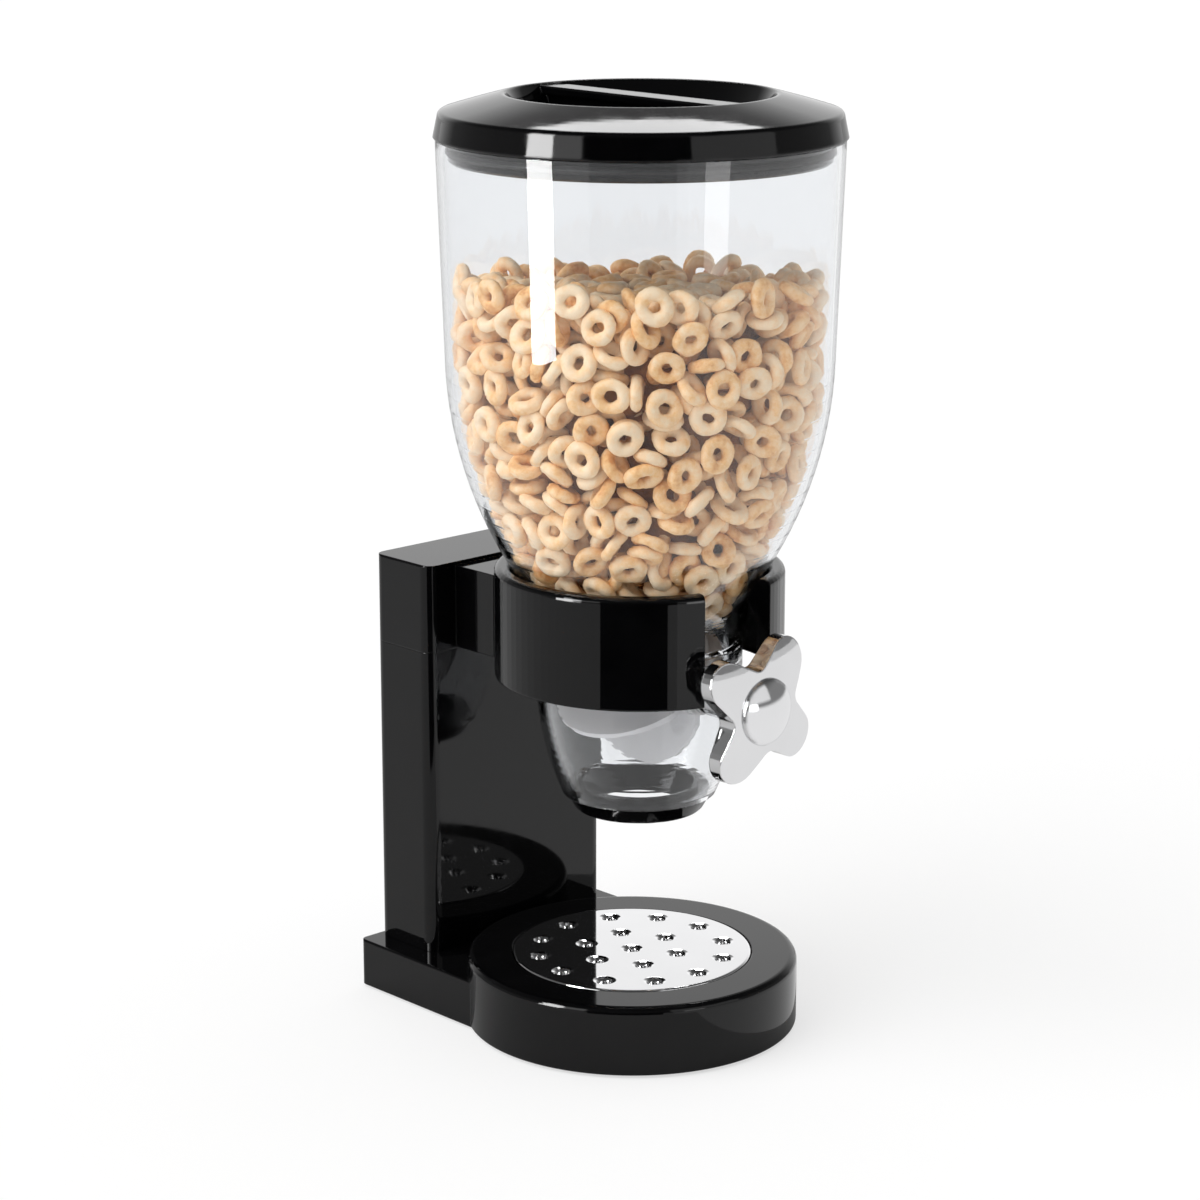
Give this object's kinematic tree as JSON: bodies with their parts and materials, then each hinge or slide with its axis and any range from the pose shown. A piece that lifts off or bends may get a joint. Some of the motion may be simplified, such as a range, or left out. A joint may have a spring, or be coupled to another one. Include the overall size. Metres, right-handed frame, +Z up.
{
  "type": "gravity bulk food bin",
  "caption": "Countertop gravity bin for dry food: clear canister held in a collar on a column, clear metering chamber with a knob-turned paddle wheel, round base with crumb tray.",
  "frame": {"origin": "at table level, under the middle of the whole object's box", "axes": "+Z up along the canister's axis, which stands at X 0 and Y -0.0148; the knob faces -Y, the column stands at +Y"},
  "size_m": [0.1662, 0.1958, 0.393],
  "materials": {
    "gloss_black": "high gloss",
    "clear_plastic": "clear, polished",
    "chrome_knob": "bright",
    "chrome_steel": "bright",
    "steel": "satin",
    "white_silicone": "satin",
    "white_plastic": "satin",
    "black_rubber": "matt"
  },
  "bodies": {
    "stand": {"base_shell": "gloss_black", "rubber_feet": "black_rubber", "column": "gloss_black", "column_screws": "steel", "collar_bracket": "gloss_black", "bracket_screws": "steel"},
    "tray": {"crumb_tray": "chrome_steel"},
    "canister": {"canister": "clear_plastic", "neck_gasket": "white_silicone", "chamber": "clear_plastic", "outlet_ring": "gloss_black", "front_bush": "white_plastic", "rear_bush": "white_plastic"},
    "wheel": {"shaft": "steel", "shaft_seal": "black_rubber", "wheel_core": "white_plastic", "paddle_wheel": "white_silicone", "knob": "chrome_knob", "knob_screw": "steel", "knob_cap": "chrome_knob"},
    "lid": {"lid_cover": "gloss_black", "lid_plug": "gloss_black", "lid_gasket": "black_rubber"}
  },
  "joints": [
    {"name": "canister_lift", "type": "slide", "parent": "stand", "child": "canister", "axis": [0, 0, 1], "range_m": [0, 0.125]},
    {"name": "wheel_turn", "type": "hinge", "parent": "canister", "child": "wheel", "pos_m": [0, -0.01476, 0.152], "axis": [0, -1, 0], "continuous": true},
    {"name": "lid_lift", "type": "slide", "parent": "canister", "child": "lid", "axis": [0, 0, 1], "range_m": [0, 0.05]},
    {"name": "tray_lift", "type": "slide", "parent": "stand", "child": "tray", "axis": [0, 0, 1], "range_m": [0, 0.03]}
  ]
}
